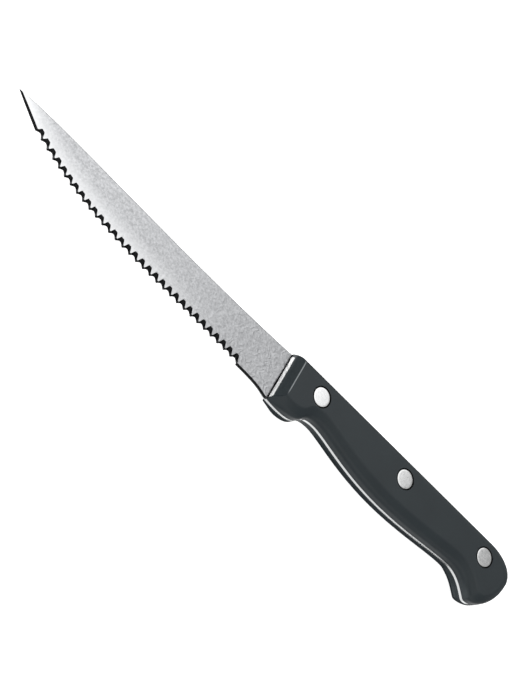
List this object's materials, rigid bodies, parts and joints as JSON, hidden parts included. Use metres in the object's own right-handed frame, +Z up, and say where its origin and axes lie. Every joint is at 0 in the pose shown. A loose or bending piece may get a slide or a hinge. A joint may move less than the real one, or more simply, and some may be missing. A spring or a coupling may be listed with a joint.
{
  "type": "steak knife",
  "caption": "Serrated steak knife with a pointed, slightly upswept blade on a full tang, held between black moulded handle scales by flush metal rivets.",
  "frame": {"origin": "bottom centre of the knife's box, on the outer flat of the far scale that the knife lies on", "axes": "+X along the knife from the tip to the butt, +Y from the cutting edge to the spine, +Z up through the handle's thickness"},
  "size_m": [0.2146, 0.0216, 0.01],
  "materials": {
    "blade_steel": "satin stainless steel, faintly mottled by the rolling and polishing",
    "handle_acetal": "black moulded acetal with a soft sheen",
    "rivet_metal": "rivet heads ground flush and lightly polished"
  },
  "bodies": {
    "root": {"blade": "blade_steel", "near_scale": "handle_acetal", "far_scale": "handle_acetal", "front_rivet_sleeve": "rivet_metal", "front_rivet_pin": "rivet_metal", "middle_rivet_sleeve": "rivet_metal", "middle_rivet_pin": "rivet_metal", "rear_rivet_sleeve": "rivet_metal", "rear_rivet_pin": "rivet_metal"}
  },
  "joints": []
}
